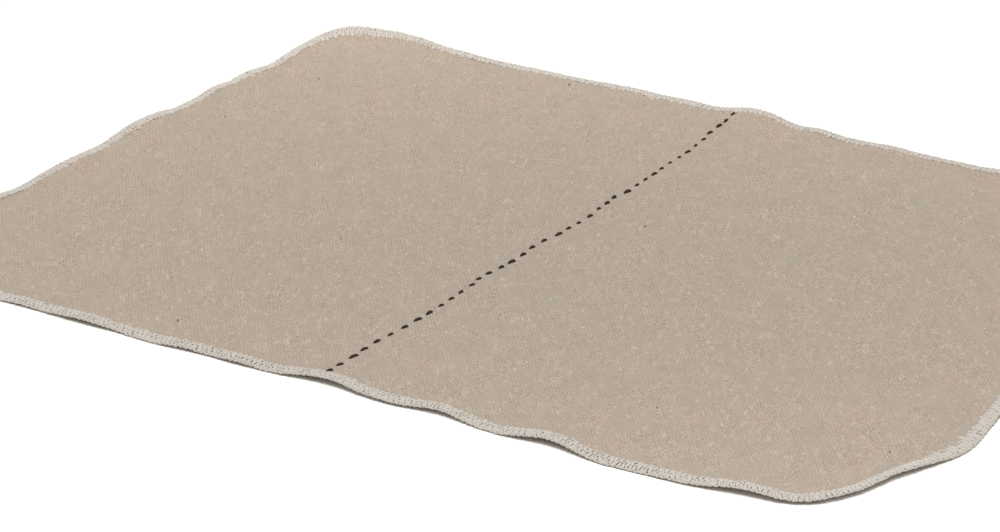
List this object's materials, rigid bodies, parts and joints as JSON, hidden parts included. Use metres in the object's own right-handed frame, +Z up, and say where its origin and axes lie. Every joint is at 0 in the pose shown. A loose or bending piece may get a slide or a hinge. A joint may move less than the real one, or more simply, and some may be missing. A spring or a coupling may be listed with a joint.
{
  "type": "fabric placemat",
  "caption": "Rectangular cloth placemat with rounded corners, a wavy off-white overlocked edge and a dark running stitch across its middle.",
  "frame": {"origin": "on the table, under the middle of the cloth", "axes": "+Z up off the table, +X along the mat's long side, +Y from the near long side to the far one"},
  "size_m": [0.4587, 0.3525, 0.0071],
  "materials": {
    "cloth": "matte",
    "edge_thread": "matte",
    "running_stitch": "matte"
  },
  "bodies": {
    "root": {"cloth": "cloth"}
  },
  "joints": []
}
